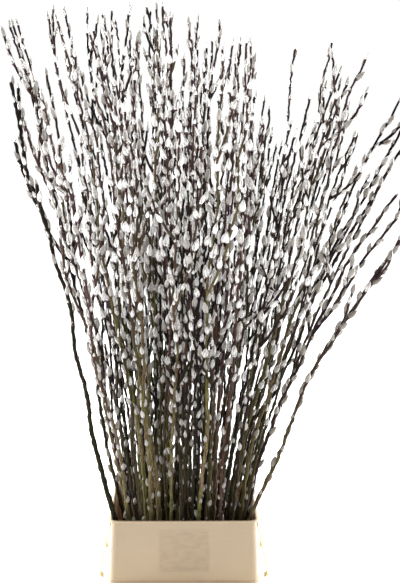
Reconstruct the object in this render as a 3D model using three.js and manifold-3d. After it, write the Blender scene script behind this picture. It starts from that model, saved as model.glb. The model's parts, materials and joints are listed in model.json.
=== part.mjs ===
// A low florist's container filled with cut pussy-willow branches.
// Millimetres, +Z up. The origin is the middle of the container's underside; X runs along its short
// front side and +Y towards its back. Every branch is one solid: a tapered rod, most of them with one
// side shoot. A rod's rings are level, six-sided on the main rod and five-sided on a side shoot.
import * as THREE from "three";
import Module from "manifold-3d";
import { mergeVertices } from "three/addons/utils/BufferGeometryUtils.js";

const wasm = await Module();
wasm.setup();

// Container
const BASE_WIDTH = 304;
const BASE_DEPTH = 404;
const RIM_WIDTH = 296;
const RIM_DEPTH = 396;
const RIM_HEIGHT = 130;
const WALL = 2.5;
const FLOOR = 3;
const CORNER_RADIUS = 18;
const LIP_OUT = 1.6;
const LIP_HEIGHT = 3.5;
const FOOT_BAND_HEIGHT = 6;
const SIDE_FOOT_TOP = 124;
const SIDE_FOOT_REACH = 22.5;
const SIDE_FOOT_LENGTH = 40;
const SIDE_FOOT_END = 150;
const SIDE_FOOT_WALL = 3;
const TOE_HEIGHT = 6;
const TOE_TURN = 7;
const PANEL_WIDTH = 106;
const PANEL_HEIGHT = 88;
const PANEL_MIDDLE = 68;
const PANEL_RIB = 2;
const PANEL_RELIEF = 0.8;
const ARC_STEPS = 6;
const CUT_SPARE = 10;

// Branches
const BRANCH_LENGTH = 1165;
const SHORTEST_SHARE = 0.82;
const FOOT_RADIUS = 4.2;
const TIP_RADIUS = 1.1;
const ROD_SIDES = 6;
const ROD_STEPS = 11;
const SHOOT_SIDES = 5;
const SHOOT_STEPS = 7;
const ROWS = 11;
const COLUMNS = 5;
const ROD_COUNT = 57;
const FOOT_GAP = 0.4;
const REST_GAP = 0.8;
const ROD_GAP = 5;
const RIM_REACH_X = 126;
const RIM_REACH_Y = 168;
const SHOOT_SHARE = 0.9;
const ROW_STAGGER = 0.382;
const PLACE_SPREAD = [9, 6];
const SLOPE_SPREAD = [0.055, 0.02];
const BOW_SPREAD = [0.035, 0.025];
const MIDDLE_LEAN = 0.05;
const LEFT_LEAN = 0.23;
const RIGHT_LEAN = 0.36;
const LEAN_POWER = 1.5;
const LEFT_WING = [0.1, 1];
const RIGHT_WING = [0.5, 1];
const BACK_LEAN = 0.12;
const RIGHT_FROM = 0.15;
const RIGHT_SHARE = 0.94;
const BOW_SHARE = 0.16;
const SWAY = [3, 12];
const SWAY_LENGTH = [420, 700];
const GIRTH = [0.72, 1.3];
const LEANING = 0.85;
const HEIGHT_STEP = 25;
const MOST_TRIES = 60;
const LONE_ROD = 0;
const SHOOT_START = [0.2, 0.62];
const SHOOT_SPREAD = [24, 52];
const SHOOT_DRIFT = [0.01, 0.06];
const SHOOT_REACH = [0.72, 1.04];
const SHOOT_GIRTH = 0.72;
const SHOOT_OPENING = 90;
const SHOOT_FLATNESS = 0.8;
const SEED = 20;

/** A repeatable random number from 0 to 1. */
function makeRandom(seed) {
  let state = seed;
  return () => {
    state = (state + 0x6d2b79f5) | 0;
    let mixed = Math.imul(state ^ (state >>> 15), 1 | state);
    mixed = (mixed + Math.imul(mixed ^ (mixed >>> 7), 61 | mixed)) ^ mixed;
    return ((mixed ^ (mixed >>> 14)) >>> 0) / 4294967296;
  };
}
const random = makeRandom(SEED);
const between = (low, high) => low + (high - low) * random();
const around = (spread) => between(-spread, spread);

/** A closed geometry as a solid that can be joined and cut. */
function solidOf(geometry) {
  const bare = geometry.clone();
  bare.deleteAttribute("normal");
  bare.deleteAttribute("uv");
  const merged = mergeVertices(bare, 1e-3);
  return new wasm.Manifold(
    new wasm.Mesh({
      numProp: 3,
      vertProperties: merged.attributes.position.array,
      triVerts: new Uint32Array(merged.index.array),
    }),
  );
}

/** A joined or cut solid as a geometry that a mesh can show. */
function geometryOf(solid) {
  const mesh = solid.getMesh();
  const geometry = new THREE.BufferGeometry();
  geometry.setAttribute("position", new THREE.BufferAttribute(mesh.vertProperties, 3));
  geometry.setIndex(new THREE.BufferAttribute(mesh.triVerts, 1));
  geometry.computeVertexNormals();
  return geometry;
}

/** A rectangle about the origin with round corners. */
function roundedRectangle(width, depth, radius) {
  const x = width / 2 - radius;
  const y = depth / 2 - radius;
  const shape = new THREE.Shape();
  shape.absarc(x, -y, radius, -Math.PI / 2, 0);
  shape.absarc(x, y, radius, 0, Math.PI / 2);
  shape.absarc(-x, y, radius, Math.PI / 2, Math.PI);
  shape.absarc(-x, -y, radius, Math.PI, 1.5 * Math.PI);
  return shape;
}

/** How far the container's wall has drawn in at a height, as a share of its size at the base. */
function drawIn(height) {
  return {
    x: THREE.MathUtils.lerp(1, RIM_WIDTH / BASE_WIDTH, height / RIM_HEIGHT),
    y: THREE.MathUtils.lerp(1, RIM_DEPTH / BASE_DEPTH, height / RIM_HEIGHT),
  };
}

/** A block that follows the container's tapering walls, moved out from them by some millimetres. */
function wallBlock(outward, low, high) {
  const radius = CORNER_RADIUS + outward;
  const outline = roundedRectangle(BASE_WIDTH + 2 * outward, BASE_DEPTH + 2 * outward, radius);
  const block = new THREE.ExtrudeGeometry(outline, {
    depth: high - low,
    bevelEnabled: false,
    curveSegments: ARC_STEPS,
  });
  block.translate(0, 0, low);
  const position = block.attributes.position;
  for (let i = 0; i < position.count; i++) {
    const share = drawIn(position.getZ(i));
    position.setXY(i, position.getX(i) * share.x, position.getY(i) * share.y);
  }
  return solidOf(block);
}

/** A thin strip that leans out from a side wall, under the lip, down to a toe turned in at the floor. */
function sideFoot(side, end) {
  const top = (BASE_WIDTH / 2) * drawIn(SIDE_FOOT_TOP).x + SIDE_FOOT_WALL / 2;
  const tip = BASE_WIDTH / 2 + SIDE_FOOT_REACH;
  const profile = new THREE.Shape();
  profile.moveTo(top, SIDE_FOOT_TOP);
  profile.lineTo(top - SIDE_FOOT_WALL, SIDE_FOOT_TOP);
  profile.lineTo(tip - SIDE_FOOT_WALL, TOE_HEIGHT);
  profile.lineTo(tip - SIDE_FOOT_WALL - TOE_TURN, 0);
  profile.lineTo(tip - TOE_TURN, 0);
  profile.lineTo(tip, TOE_HEIGHT);
  const strip = new THREE.ExtrudeGeometry(profile, { depth: SIDE_FOOT_LENGTH, bevelEnabled: false });
  strip.rotateX(Math.PI / 2);
  strip.translate(0, end * (SIDE_FOOT_END - SIDE_FOOT_LENGTH / 2) + SIDE_FOOT_LENGTH / 2, 0);
  return side > 0 ? solidOf(strip) : solidOf(strip).rotate([0, 0, 180]);
}

/** The raised frame of the blank panel moulded into the front wall. */
function frontPanel() {
  const block = (inset) => {
    const width = PANEL_WIDTH - 2 * inset;
    const box = new THREE.BoxGeometry(width, CUT_SPARE + inset, PANEL_HEIGHT - 2 * inset);
    box.translate(0, -BASE_DEPTH / 2, PANEL_MIDDLE);
    return solidOf(box);
  };
  const wide = block(0);
  const inner = block(PANEL_RIB);
  const relief = wallBlock(PANEL_RELIEF, 0, RIM_HEIGHT);
  return wide.subtract(inner).intersect(relief);
}

/** The whole moulded container: tapering tub, lip, foot band, side feet and blank front panel. */
function containerSolid() {
  let tub = wallBlock(0, 0, RIM_HEIGHT)
    .add(wallBlock(LIP_OUT, RIM_HEIGHT - LIP_HEIGHT, RIM_HEIGHT))
    .add(wallBlock(LIP_OUT, 0, FOOT_BAND_HEIGHT))
    .add(frontPanel());
  for (const side of [-1, 1]) for (const end of [-1, 1]) tub = tub.add(sideFoot(side, end));
  return tub.subtract(wallBlock(-WALL, FLOOR, RIM_HEIGHT + CUT_SPARE));
}

/** The line of a rod: where it crosses the rim's height, its slope there, and how it bows and sways. */
function rodLine({ rimX, rimY, slopeX, slopeY, bowX, bowY, sway, swayTurn, swayLength }) {
  return (z) => {
    const up = z - RIM_HEIGHT;
    const bowed = Math.max(up, 0) ** 2 / 1000;
    const turn = (2 * Math.PI * Math.max(up, 0)) / swayLength;
    return new THREE.Vector2(
      rimX + slopeX * up + bowX * bowed + sway * Math.sin(turn) * Math.cos(swayTurn),
      rimY + slopeY * up + bowY * bowed + sway * Math.sin(turn) * Math.sin(swayTurn),
    );
  };
}

/** The height of a rod's tip, from its length and the lean that its line has on average. */
function tipHeight(line, length) {
  const footZ = FLOOR + FOOT_GAP;
  const lean = line(length).sub(line(footZ)).length() / (length - footZ);
  return footZ + length / Math.sqrt(1 + lean * lean);
}

/** A tapered rod with level rings whose middles follow a line. */
function bentRod(rod) {
  const height = rod.top - rod.foot;
  const bar = new THREE.CylinderGeometry(rod.tipRadius, rod.footRadius, height, rod.sides, rod.steps);
  bar.rotateX(Math.PI / 2);
  bar.translate(0, 0, (rod.foot + rod.top) / 2);
  const position = bar.attributes.position;
  for (let i = 0; i < position.count; i++) {
    const middle = rod.line(position.getZ(i));
    position.setXY(i, position.getX(i) + middle.x, position.getY(i) + middle.y);
  }
  return bar;
}

/** A rod's radius at a height. */
function radiusAt(rod, z) {
  const share = (z - rod.foot) / (rod.top - rod.foot);
  return THREE.MathUtils.lerp(rod.footRadius, rod.tipRadius, share);
}

/** The least free space, in millimetres, between two rods at the heights that they share. */
function spaceBetween(a, b) {
  const low = Math.max(a.foot, b.foot);
  const high = Math.min(a.top, b.top);
  let least = Infinity;
  for (let z = low; z <= high; z += HEIGHT_STEP) {
    const apart = a.line(z).distanceTo(b.line(z)) * LEANING - radiusAt(a, z) - radiusAt(b, z);
    least = Math.min(least, apart);
  }
  return least;
}

/** True if a rod stays inside the container's walls up to the rim. */
function insideWalls(rod) {
  return [rod.foot, RIM_HEIGHT / 2, RIM_HEIGHT + 2].every((z) => {
    const share = drawIn(Math.min(z, RIM_HEIGHT));
    const room = WALL + REST_GAP + radiusAt(rod, z) * 1.1;
    const at = rod.line(z);
    const x = Math.abs(at.x) + room;
    const y = Math.abs(at.y) + room;
    const roomX = (BASE_WIDTH / 2) * share.x;
    const roomY = (BASE_DEPTH / 2) * share.y;
    const corner = CORNER_RADIUS * (2 - Math.SQRT2);
    return x < roomX && y < roomY && x + y < roomX + roomY - corner;
  });
}

/** True if a rod stays on the inner side of the lone rod at the left edge of the fan. */
function insideLone(rod, lone) {
  for (let z = RIM_HEIGHT; z <= rod.top; z += HEIGHT_STEP)
    if (z > rod.foot && rod.line(z).x < lone.line(z).x) return false;
  return true;
}

/** How strongly a rod leans sideways, from how far out it crosses the rim: -1 left, 1 right. */
function fanSlope(out) {
  const wing = out < 0 ? LEFT_LEAN * between(...LEFT_WING) : RIGHT_LEAN * between(...RIGHT_WING);
  return MIDDLE_LEAN * out + wing * out * Math.abs(out) ** LEAN_POWER + around(SLOPE_SPREAD[0]);
}

/** Draws one rod at random about its place in the fan. */
function drawRod(row, column) {
  const stagger = (row * ROW_STAGGER) % 1;
  const out = -1 + (2 * (column + stagger)) / COLUMNS;
  const back = -1 + (2 * row) / (ROWS - 1);
  const slopeX = fanSlope(out);
  const slopeY = BACK_LEAN * back + around(SLOPE_SPREAD[1]);
  const tallest = BRANCH_LENGTH * (out > RIGHT_FROM ? RIGHT_SHARE : 1);
  return {
    rimX: RIM_REACH_X * out + around(PLACE_SPREAD[0]),
    rimY: RIM_REACH_Y * back + around(PLACE_SPREAD[1]),
    slopeX,
    slopeY,
    bowX: BOW_SHARE * slopeX + around(BOW_SPREAD[0]),
    bowY: BOW_SHARE * slopeY + around(BOW_SPREAD[1]),
    length: tallest * (1 - (1 - SHORTEST_SHARE) * random() ** 2),
    girth: between(...GIRTH),
  };
}

/** A main rod from its numbers. */
function mainRod(numbers) {
  const line = rodLine({
    ...numbers,
    sway: between(...SWAY),
    swayTurn: between(0, 2 * Math.PI),
    swayLength: between(...SWAY_LENGTH),
  });
  return {
    line,
    foot: FLOOR + FOOT_GAP,
    top: tipHeight(line, numbers.length),
    footRadius: FOOT_RADIUS * numbers.girth,
    tipRadius: TIP_RADIUS,
    sides: ROD_SIDES,
    steps: ROD_STEPS,
  };
}

/** Draws one side shoot: it leaves its rod at a height and swings out one way, then runs beside it. */
function drawShoot(rod) {
  const start = THREE.MathUtils.lerp(rod.foot, rod.top, between(...SHOOT_START));
  const heading = between(0, 2 * Math.PI);
  const spread = between(...SHOOT_SPREAD);
  const drift = between(...SHOOT_DRIFT);
  const line = (z) => {
    const up = Math.max(z - start, 0);
    const aside = spread * (1 - Math.exp(-up / SHOOT_OPENING)) + drift * up;
    const middle = rod.line(z);
    return new THREE.Vector2(
      middle.x + aside * Math.cos(heading),
      middle.y + aside * Math.sin(heading) * SHOOT_FLATNESS,
    );
  };
  return {
    line,
    foot: start,
    top: Math.min(THREE.MathUtils.lerp(start, rod.top, between(...SHOOT_REACH)), BRANCH_LENGTH),
    footRadius: radiusAt(rod, start) * SHOOT_GIRTH,
    tipRadius: TIP_RADIUS,
    sides: SHOOT_SIDES,
    steps: SHOOT_STEPS,
  };
}

// The far-leaning branches at the edges of the fan, placed by hand.
const strays = [
  { rimX: -140, rimY: -166, slopeX: -0.228, slopeY: -0.04, bowX: 0, bowY: -0.02, length: 1040, girth: 0.9 },
  { rimX: -137, rimY: 40, slopeX: -0.2, slopeY: 0.02, bowX: -0.02, bowY: 0, length: 1150, girth: 0.9 },
  { rimX: 135, rimY: -160, slopeX: 0.36, slopeY: -0.06, bowX: 0.3, bowY: 0, length: 940, girth: 1 },
  { rimX: 134, rimY: -92, slopeX: 0.19, slopeY: -0.03, bowX: 0.52, bowY: 0.02, length: 960, girth: 0.95 },
  { rimX: 122, rimY: 10, slopeX: 0.24, slopeY: 0.02, bowX: 0.24, bowY: 0, length: 1060, girth: 0.9 },
  { rimX: 132, rimY: 124, slopeX: 0.22, slopeY: 0.07, bowX: 0.22, bowY: 0, length: 1050, girth: 0.95 },
];

/** Every main rod: the strays first, then the rows of the fan, each drawn again until it is clear. */
function placeRods() {
  const rods = strays.map(mainRod);
  const places = [];
  for (let row = 0; row < ROWS; row++)
    for (let column = 0; column < COLUMNS; column++) places.push([row, column]);
  for (const [row, column] of places) {
    for (let tries = 0; tries < MOST_TRIES && rods.length < ROD_COUNT; tries++) {
      const rod = mainRod(drawRod(row, column));
      const clear = rods.every((other) => spaceBetween(rod, other) > ROD_GAP);
      if (clear && insideWalls(rod) && insideLone(rod, rods[LONE_ROD])) {
        rods.push(rod);
        break;
      }
    }
  }
  return rods;
}

/** One side shoot for some of the rods, each drawn again until it is clear of every other branch. */
function placeShoots(rods) {
  const shoots = new Map();
  rods.forEach((rod, i) => {
    if (random() > SHOOT_SHARE) return;
    for (let tries = 0; tries < MOST_TRIES; tries++) {
      const shoot = drawShoot(rod);
      const others = [...rods.filter((other) => other !== rod), ...shoots.values()];
      const clear = others.every((other) => spaceBetween(shoot, other) > ROD_GAP);
      if (clear && insideLone(shoot, rods[LONE_ROD])) {
        shoots.set(i, shoot);
        break;
      }
    }
  });
  return shoots;
}

/** One branch as a named mesh: its rod, joined with its side shoot if it has one. */
function branchMesh(rod, shoot, name) {
  let geometry = bentRod(rod);
  if (shoot) geometry = geometryOf(solidOf(geometry).add(solidOf(bentRod(shoot))));
  const bark = new THREE.MeshStandardMaterial({ color: 0x5a4a3a, roughness: 0.7, metalness: 0 });
  const mesh = new THREE.Mesh(geometry, bark);
  mesh.name = name;
  return mesh;
}

const part = new THREE.Group();

const plastic = new THREE.MeshStandardMaterial({ color: 0xcbb795, roughness: 0.55, metalness: 0 });
const container = new THREE.Mesh(geometryOf(containerSolid()), plastic);
container.name = "container";
part.add(container);

const rods = placeRods();
const shoots = placeShoots(rods);
shoots.delete(LONE_ROD);
rods.forEach((rod, i) => {
  const name = "branch_" + String(i + 1).padStart(2, "0");
  part.add(branchMesh(rod, shoots.get(i), name));
});

export default part;
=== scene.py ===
"""A florist's container filled with cut pussy-willow branches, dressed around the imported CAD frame."""

import copy
import json
import logging
import math
from contextlib import contextmanager
from dataclasses import dataclass, field
from enum import Enum
from typing import Callable, Iterator, Optional

import bpy
import numpy as np
from mathutils import Matrix, Vector

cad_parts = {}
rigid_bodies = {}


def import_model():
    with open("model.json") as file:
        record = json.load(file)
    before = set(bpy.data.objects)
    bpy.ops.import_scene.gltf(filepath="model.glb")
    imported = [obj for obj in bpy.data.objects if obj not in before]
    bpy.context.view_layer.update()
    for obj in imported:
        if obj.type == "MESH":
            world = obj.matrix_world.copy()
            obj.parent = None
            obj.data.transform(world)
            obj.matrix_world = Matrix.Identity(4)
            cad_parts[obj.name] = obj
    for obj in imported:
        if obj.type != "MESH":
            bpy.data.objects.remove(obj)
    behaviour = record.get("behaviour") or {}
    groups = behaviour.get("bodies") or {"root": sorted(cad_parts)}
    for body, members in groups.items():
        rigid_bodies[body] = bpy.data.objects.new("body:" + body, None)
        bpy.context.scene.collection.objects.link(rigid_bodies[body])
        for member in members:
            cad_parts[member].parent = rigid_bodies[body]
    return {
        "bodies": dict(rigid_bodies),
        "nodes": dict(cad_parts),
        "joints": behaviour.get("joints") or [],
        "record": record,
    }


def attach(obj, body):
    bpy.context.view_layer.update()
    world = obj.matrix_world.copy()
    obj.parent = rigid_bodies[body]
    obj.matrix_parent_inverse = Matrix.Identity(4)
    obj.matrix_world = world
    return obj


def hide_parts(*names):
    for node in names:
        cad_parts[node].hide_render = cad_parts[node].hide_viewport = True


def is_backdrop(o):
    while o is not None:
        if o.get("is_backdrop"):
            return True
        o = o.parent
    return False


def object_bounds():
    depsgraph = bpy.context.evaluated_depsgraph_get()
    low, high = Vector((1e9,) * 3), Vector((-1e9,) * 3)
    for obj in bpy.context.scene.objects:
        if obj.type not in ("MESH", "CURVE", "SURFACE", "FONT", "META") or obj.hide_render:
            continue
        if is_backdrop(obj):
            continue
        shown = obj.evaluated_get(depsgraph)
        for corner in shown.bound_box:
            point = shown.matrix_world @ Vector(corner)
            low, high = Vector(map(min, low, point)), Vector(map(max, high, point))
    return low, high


LOG = logging.getLogger("willow")

Socket = bpy.types.NodeSocket
Colour = tuple[float, float, float]
Triple = tuple[float, float, float]

SEED = 11
BODY = "root"
MM = 0.001
FAR = 1e3

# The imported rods: points in a ring, steps from foot to tip, and the least gap between two levels.
ROD_RING, ROD_STEPS = 6, 11
SHOOT_RING, SHOOT_STEPS = 5, 7
LEVEL_GAP = 1e-4

RIM = 130 * MM
TALLEST = 1165 * MM
PANEL_WIDTH, PANEL_HEIGHT, PANEL_MIDDLE = 106 * MM, 88 * MM, 68 * MM


class Slot(Enum):
    """The record's material slots, after which the materials are named too."""

    PLASTIC = "container_plastic"
    BARK = "bark"
    DOWN = "catkin_down"
    SCALE = "bud_scale"


class Stage(Enum):
    """How far a catkin is out of its bud: its width, its height and how much its scale covers."""

    CLOSED = (0.42, 0.42, 0.85)
    PEEPING = (0.62, 0.66, 0.38)
    OPEN = (0.92, 1.0, 0.0)
    PLUMP = (1.08, 1.05, 0.0)


def deselect_all() -> None:
    """Leaves nothing selected and nothing active."""
    for thing in bpy.context.view_layer.objects:
        thing.select_set(False)
    bpy.context.view_layer.objects.active = None


def choose(thing: bpy.types.Object, test: Callable[[Vector], bool]) -> None:
    """Selects the points that pass a test, with the edges and faces whose points all do.

    Args:
        thing: The object, in object mode.
        test: Says of a point whether it is chosen.
    """
    mesh = thing.data
    for vertex in mesh.vertices:
        vertex.select = test(vertex.co)
    for part in (*mesh.edges, *mesh.polygons):
        part.select = all(mesh.vertices[i].select for i in part.vertices)


@contextmanager
def editing() -> Iterator[None]:
    """Keeps the active object in edit mode while a block runs."""
    bpy.ops.object.mode_set(mode="EDIT")
    yield
    bpy.ops.object.mode_set(mode="OBJECT")


def apply_place() -> None:
    """Moves the active object's place, turn and scale into its mesh."""
    bpy.ops.object.transform_apply(location=True, rotation=True, scale=True)


def face_outwards() -> None:
    """Turns every face of the mesh in edit mode outwards."""
    bpy.ops.mesh.select_all(action="SELECT")
    bpy.ops.mesh.normals_make_consistent(inside=False)


def joined(things: list[bpy.types.Object]) -> bpy.types.Object:
    """Joins objects into the first of them."""
    deselect_all()
    for thing in things:
        thing.select_set(True)
    bpy.context.view_layer.objects.active = things[0]
    bpy.ops.object.join()
    return things[0]


def smoothstep(low: float, high: float, value: float) -> float:
    """Rises smoothly from 0 at low to 1 at high.

    Args:
        low: The value at which the rise starts.
        high: The value at which the rise ends.
        value: The value asked about.

    Returns:
        The share of the rise at that value.
    """
    share = min(max((value - low) / (high - low), 0.0), 1.0)
    return share * share * (3 - 2 * share)


class Nodes:
    """Lays out a material's nodes."""

    def __init__(self, name: str) -> None:
        """Starts a material with one Principled surface.

        Args:
            name: The material's name.
        """
        self.material = bpy.data.materials.new(name)
        self.material.use_nodes = True
        self.tree = self.material.node_tree
        self.surface = self.tree.nodes["Principled BSDF"]

    def add(self, kind: str, **settings: object) -> bpy.types.Node:
        """Adds a node.

        Args:
            kind: The node's type, without "ShaderNode".
            **settings: Properties of the node to set.

        Returns:
            The new node.
        """
        node = self.tree.nodes.new("ShaderNode" + kind)
        for name, value in settings.items():
            setattr(node, name, value)
        return node

    def link(self, source: Socket, target: Socket) -> None:
        """Joins an output to an input."""
        self.tree.links.new(source, target)

    def place(self) -> Socket:
        """Gives the object's own coordinates."""
        return self.add("TexCoord").outputs["Object"]

    def apart(self, source: Socket) -> list[Socket]:
        """Takes coordinates apart into x, y and z."""
        node = self.add("SeparateXYZ")
        self.link(source, node.inputs["Vector"])
        return [node.outputs[axis] for axis in "XYZ"]

    def stretched(self, source: Socket, scale: Triple) -> Socket:
        """Scales coordinates by a factor for each axis.

        Args:
            source: The coordinates.
            scale: The three factors.

        Returns:
            The scaled coordinates.
        """
        mapping = self.add("Mapping")
        mapping.inputs["Scale"].default_value = scale
        self.link(source, mapping.inputs["Vector"])
        return mapping.outputs["Vector"]

    def noise(self, source: Socket, scale: float, detail: float = 2.0) -> Socket:
        """Adds a noise pattern.

        Args:
            source: The coordinates it reads.
            scale: How fine it is.
            detail: How many finer layers it has.

        Returns:
            The pattern as one value from 0 to 1.
        """
        node = self.add("TexNoise")
        node.inputs["Scale"].default_value = scale
        node.inputs["Detail"].default_value = detail
        self.link(source, node.inputs["Vector"])
        return node.outputs["Fac"]

    def attribute(self, name: str) -> Socket:
        """Reads one number of the mesh's own by its name."""
        return self.add("Attribute", attribute_name=name).outputs["Fac"]

    def ramp(self, source: Socket, stops: list[tuple[float, Colour]]) -> Socket:
        """Turns a value into a colour.

        Args:
            source: The value.
            stops: Places from 0 to 1, each with its colour.

        Returns:
            The colour.
        """
        node = self.add("ValToRGB")
        band = node.color_ramp
        while len(band.elements) < len(stops):
            band.elements.new(0.5)
        for element, (place, colour) in zip(band.elements, stops):
            element.position = place
            element.color = (*colour, 1.0)
        self.link(source, node.inputs["Fac"])
        return node.outputs["Color"]

    def fit(
        self, source: Socket, old: tuple[float, float], new: tuple[float, float]
    ) -> Socket:
        """Maps a value from one range to another, held at its ends.

        Args:
            source: The value.
            old: The range it has.
            new: The range it gets.

        Returns:
            The mapped value.
        """
        node = self.add("MapRange", clamp=True)
        for name, value in zip(("From Min", "From Max", "To Min", "To Max"), (*old, *new)):
            node.inputs[name].default_value = value
        self.link(source, node.inputs["Value"])
        return node.outputs["Result"]

    def mix(
        self,
        share: Socket | float,
        first: Socket | Colour,
        second: Socket | Colour,
        blend: str = "MIX",
    ) -> Socket:
        """Mixes two colours.

        Args:
            share: How much of the second colour shows, linked or fixed.
            first: The colour underneath, linked or fixed.
            second: The colour on top, linked or fixed.
            blend: How the second is laid on the first.

        Returns:
            The mixed colour.
        """
        node = self.add("Mix", data_type="RGBA", blend_type=blend)
        under, over = [socket for socket in node.inputs if socket.type == "RGBA"]
        if isinstance(share, float):
            node.inputs["Factor"].default_value = share
        else:
            self.link(share, node.inputs["Factor"])
        for socket, colour in ((under, first), (over, second)):
            if isinstance(colour, tuple):
                socket.default_value = (*colour, 1.0)
            else:
                self.link(colour, socket)
        return next(socket for socket in node.outputs if socket.type == "RGBA")

    def maths(self, operation: str, first: Socket, second: Socket | float = 0.0) -> Socket:
        """Works out one value from two.

        Args:
            operation: The operation's name.
            first: The first value.
            second: The second value, linked or fixed.

        Returns:
            The result.
        """
        node = self.add("Math", operation=operation)
        self.link(first, node.inputs[0])
        if isinstance(second, float):
            node.inputs[1].default_value = second
        else:
            self.link(second, node.inputs[1])
        return node.outputs[0]

    def bump(self, height: Socket, strength: float, depth: float) -> None:
        """Gives the surface relief.

        Args:
            height: The relief's height.
            strength: How strongly it shows, from 0 to 1.
            depth: How deep it is, in metres.
        """
        node = self.add("Bump")
        node.inputs["Strength"].default_value = strength
        node.inputs["Distance"].default_value = depth
        self.link(height, node.inputs["Height"])
        self.link(node.outputs["Normal"], self.surface.inputs["Normal"])

    def colour(self, source: Socket) -> None:
        """Gives the surface its colour."""
        self.link(source, self.surface.inputs["Base Color"])

    def roughness(self, source: Socket) -> None:
        """Gives the surface its roughness."""
        self.link(source, self.surface.inputs["Roughness"])

    def fixed(self, **values: float) -> None:
        """Sets the surface's own numbers, with _ for the spaces in their names."""
        for name, value in values.items():
            self.surface.inputs[name.replace("_", " ")].default_value = value


@dataclass(frozen=True)
class BarkFinish:
    """Young willow bark: olive low down, purple-brown above, with fine streaks and pale pores, and
    painted shade and light from each branch's shade number.
    """

    purple: Colour = (0.019, 0.010, 0.016)
    brown: Colour = (0.030, 0.016, 0.011)
    olive: Colour = (0.055, 0.053, 0.020)
    tan: Colour = (0.085, 0.062, 0.038)
    pore: Colour = (0.14, 0.12, 0.09)
    green_end: tuple[float, float] = (100 * MM, 650 * MM)
    patch_scale: Triple = (40.0, 40.0, 9.0)
    streak_scale: Triple = (420.0, 420.0, 32.0)
    pore_scale: Triple = (330.0, 330.0, 150.0)
    gaps_between_streaks: Colour = (0.35, 0.35, 0.35)
    ridges: Colour = (1.8, 1.75, 1.7)
    # Painted shade and painted light: the bark colour is multiplied from shaded to sunlit by each
    # branch's shade number.
    shaded: Colour = (0.12, 0.12, 0.14)
    sunlit: Colour = (2.1, 2.05, 1.85)
    relief: float = 0.4 * MM

    def material(self) -> bpy.types.Material:
        """Makes the bark.

        Returns:
            The material.
        """
        nodes = Nodes(Slot.BARK.value)
        place = nodes.place()
        tone = nodes.attribute("tone")
        patches = nodes.noise(nodes.stretched(place, self.patch_scale), 1.0, 3.0)
        streaks = nodes.noise(nodes.stretched(place, self.streak_scale), 1.0, 3.0)
        raised = nodes.maths("ADD", nodes.apart(place)[2], nodes.fit(tone, (0, 1), (0.5, -0.75)))
        raised = nodes.maths("ADD", raised, nodes.fit(patches, (0.3, 0.7), (-0.12, 0.12)))
        upper = nodes.fit(raised, self.green_end, (0, 1))
        dark = nodes.mix(nodes.fit(patches, (0.35, 0.65), (0, 1)), self.purple, self.brown)
        green = nodes.mix(nodes.fit(patches, (0.45, 0.65), (0, 0.8)), self.olive, self.tan)
        base = nodes.mix(upper, green, dark)
        streaked = nodes.ramp(streaks, [(0.32, self.gaps_between_streaks), (0.68, self.ridges)])
        base = nodes.mix(1.0, base, streaked, "MULTIPLY")
        # Painted shade and light: back and inner stems get darker bark and front stems brighter bark, in
        # place of the light inside the bunch.
        lit = nodes.ramp(nodes.attribute("shade"), [(0.0, self.shaded), (1.0, self.sunlit)])
        base = nodes.mix(1.0, base, lit, "MULTIPLY")
        pores = nodes.add("TexVoronoi", feature="F1")
        pores.inputs["Scale"].default_value = 1.0
        nodes.link(nodes.stretched(place, self.pore_scale), pores.inputs["Vector"])
        spots = nodes.fit(pores.outputs["Distance"], (0.12, 0.2), (1, 0))
        base = nodes.mix(nodes.maths("MULTIPLY", spots, 0.5), base, self.pore)
        nodes.colour(base)
        nodes.roughness(nodes.fit(streaks, (0.3, 0.7), (0.5, 0.7)))
        relief = nodes.maths("ADD", streaks, nodes.maths("MULTIPLY", spots, 0.8))
        nodes.bump(relief, 0.5, self.relief)
        nodes.fixed(Specular_IOR_Level=0.05)
        return nodes.material


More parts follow.
